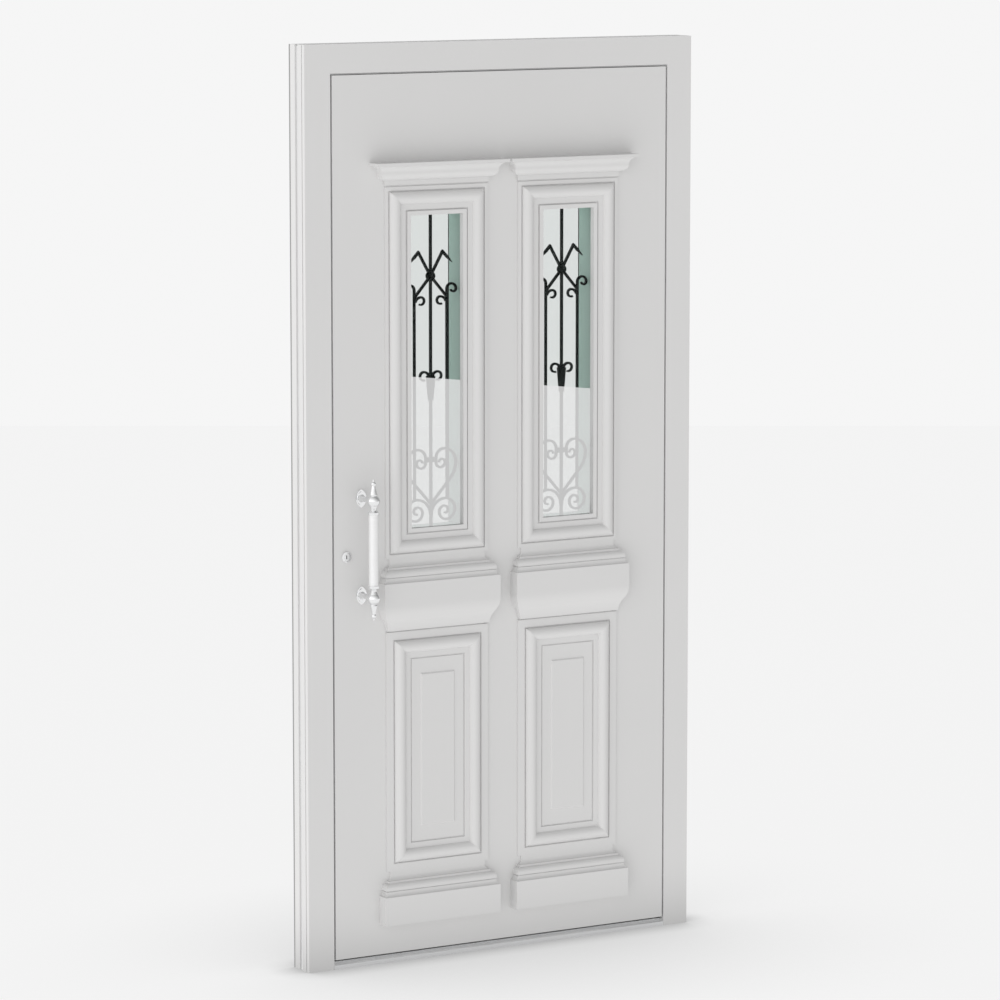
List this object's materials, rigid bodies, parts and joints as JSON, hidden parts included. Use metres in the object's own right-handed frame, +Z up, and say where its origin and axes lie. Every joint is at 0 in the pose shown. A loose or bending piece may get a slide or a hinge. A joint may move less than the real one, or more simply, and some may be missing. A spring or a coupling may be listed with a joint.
{
  "type": "panelled entrance door",
  "caption": "Painted single-leaf entrance door in its frame, with moulded columns, glazed lights over wrought grilles, raised panels, a pull handle and a multipoint lock.",
  "frame": {"origin": "on the floor under the threshold, in the middle of the frame's width and depth", "axes": "+X to the right seen from outside, +Y indoors through the door, +Z up"},
  "size_m": [1.065, 0.2125, 2.2],
  "materials": {
    "paint": "satin pale grey",
    "alloy": "mill",
    "steel": "brushed",
    "chrome": "polished",
    "grip": "satin",
    "iron": "matt black",
    "liner": "satin",
    "glass": "clear, faint green",
    "plastic": "matt grey",
    "rubber": "matt",
    "foam": "foam"
  },
  "bodies": {
    "frame": {"jamb_left_outer": "paint", "jamb_left_inner": "paint", "jamb_right_outer": "paint", "jamb_right_inner": "paint", "head_outer": "paint", "head_inner": "paint", "thermal_breaks": "plastic", "threshold": "alloy", "frame_gasket": "rubber", "centre_strike": "steel", "bolt_keeps": "steel", "hinge_frame_plates": "steel", "hinge_pins": "steel"},
    "leaf": {"outer_skin": "paint", "inner_skin": "paint", "cornice_left": "paint", "light_moulding_left": "paint", "apron_left": "paint", "panel_moulding_left": "paint", "raised_panel_left": "paint", "plinth_left": "paint", "inner_trim_left": "paint", "outer_pane_left": "glass", "inner_pane_left": "glass", "grille_left": "iron", "liner_left": "liner", "cornice_right": "paint", "light_moulding_right": "paint", "apron_right": "paint", "panel_moulding_right": "paint", "raised_panel_right": "paint", "plinth_right": "paint", "inner_trim_right": "paint", "outer_pane_right": "glass", "inner_pane_right": "glass", "grille_right": "iron", "liner_right": "liner", "bottom_seal": "rubber", "stile_lock": "alloy", "stile_hinge": "alloy", "rail_top": "alloy", "rail_bottom": "alloy", "core_panel": "foam", "hinge_leaf_plates": "steel", "lock_cases": "steel", "lock_faceplate": "steel", "pull_posts": "chrome", "cylinder_body": "chrome", "cylinder_rose": "chrome", "lever_plate": "chrome", "pull_bar": "grip"},
    "lever": {"lever_handle": "chrome"},
    "latch": {"latch_bolt": "steel"},
    "bolts": {"deadbolt": "steel", "end_bolts": "steel"},
    "rods": {"drive_rods": "steel"},
    "plug": {"key_plug": "chrome", "thumb_turn": "chrome"}
  },
  "joints": [
    {"name": "leaf_swing", "type": "hinge", "parent": "frame", "child": "leaf", "pos_m": [0.48225, 0.0495, 1.1], "axis": [0, 0, -1], "range_deg": [0, 100]},
    {"name": "lever_turn", "type": "hinge", "parent": "leaf", "child": "lever", "pos_m": [-0.428, 0.06, 1.085], "axis": [0, 1, 0], "range_deg": [0, 40], "stiffness_Nm_per_rad": 1.5, "springref_deg": -34.38},
    {"name": "latch_slide", "type": "slide", "parent": "leaf", "child": "latch", "axis": [1, 0, 0], "range_m": [0, 0.0115]},
    {"name": "bolts_slide", "type": "slide", "parent": "leaf", "child": "bolts", "axis": [-1, 0, 0], "range_m": [0, 0.02]},
    {"name": "rods_slide", "type": "slide", "parent": "leaf", "child": "rods", "axis": [0, 0, 1], "range_m": [0, 0.02]},
    {"name": "key_turn", "type": "hinge", "parent": "leaf", "child": "plug", "pos_m": [-0.428, 0, 0.993], "axis": [0, 1, 0], "range_deg": [0, 90]}
  ],
  "couplings": [
    {"joint": "latch_slide", "follows": "lever_turn", "m_per_rad": 0.01647},
    {"joint": "rods_slide", "follows": "bolts_slide", "ratio": 1},
    {"joint": "key_turn", "follows": "bolts_slide", "rad_per_m": 78.5}
  ]
}
